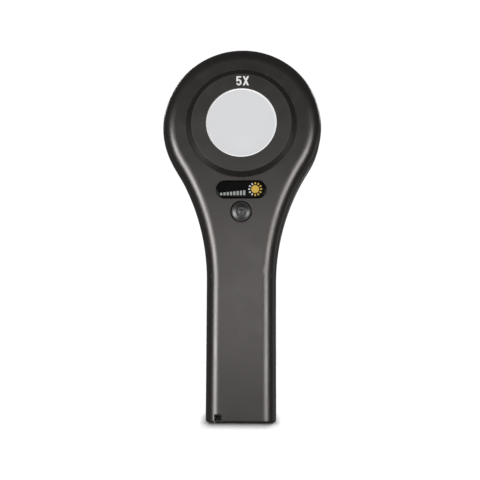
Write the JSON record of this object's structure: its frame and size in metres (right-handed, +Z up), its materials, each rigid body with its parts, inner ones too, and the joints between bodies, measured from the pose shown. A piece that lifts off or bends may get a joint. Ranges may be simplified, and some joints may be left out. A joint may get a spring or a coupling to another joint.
{
  "type": "low vision magnifier",
  "caption": "Illuminated hand magnifier: round lens head on a waisted flat handle, with a push button, lamp ring, and hinged battery door at the back.",
  "frame": {"origin": "centre of the handle's end face, on which the magnifier stands", "axes": "+Z up along the handle towards the lens, +X to the right seen from the eye's side, +Y away from the eye (out of the back)"},
  "size_m": [0.082, 0.0242, 0.1908],
  "materials": {
    "housing_plastic": "satin charcoal moulding with a fine grain",
    "bezel_plastic": "satin near-black moulding",
    "lens_acrylic": "polished clear acrylic",
    "white_plastic": "white moulding",
    "dark_plastic": "matte black moulding",
    "clear_plastic": "clear moulding",
    "badge_gloss": "domed gloss black",
    "button_plastic": "satin dark moulding",
    "steel": "plain steel",
    "nickel_contact": "nickel plated spring steel",
    "white_board": "white solder mask",
    "circuit_board": "green solder mask",
    "led_package": "white package with yellow phosphor",
    "chip_resin": "black resin",
    "copper_winding": "enamelled copper on ferrite",
    "capacitor_body": "ceramic and sleeve",
    "cell_case": "printed cell sleeve, plain",
    "wire_red": "insulation",
    "wire_black": "insulation",
    "wire_white": "insulation"
  },
  "bodies": {
    "housing": {"front_shell": "housing_plastic", "rear_shell": "housing_plastic", "door_hinge_pin": "steel", "strap_bar": "steel", "lens_bezel": "bezel_plastic", "lens_seat_ring": "white_plastic", "lens": "lens_acrylic", "lens_retainer": "dark_plastic", "bezel_lock_ring": "dark_plastic", "light_shield": "dark_plastic", "led_board": "white_board", "leds": "led_package", "light_reflector": "white_plastic", "light_window": "clear_plastic", "badge": "badge_gloss", "switch_body": "dark_plastic", "button_spring": "steel", "main_board": "circuit_board", "board_screws": "steel", "housing_screws": "steel", "driver_chip": "chip_resin", "boost_inductor": "copper_winding", "capacitors": "capacitor_body", "battery_tray": "dark_plastic", "battery_left": "cell_case", "battery_right": "cell_case", "contact_bridge": "nickel_contact", "contact_positive": "nickel_contact", "contact_negative": "nickel_contact", "contact_spring_lower": "nickel_contact", "contact_spring_upper": "nickel_contact", "battery_wire_positive": "wire_red", "battery_wire_negative": "wire_black", "led_wires": "wire_white"},
    "button": {"button_cap": "button_plastic", "switch_plunger": "dark_plastic"},
    "door": {"battery_door": "housing_plastic"}
  },
  "joints": [
    {"name": "button_press", "type": "slide", "parent": "housing", "child": "button", "axis": [0, 1, 0], "range_m": [0, 0.0012], "stiffness_N_per_m": 1000, "springref_m": -0.0005, "deforming": ["button_spring"]},
    {"name": "door_swing", "type": "hinge", "parent": "housing", "child": "door", "pos_m": [0, 0.0094, 0.0648], "axis": [1, 0, 0], "range_deg": [0, 90]}
  ]
}
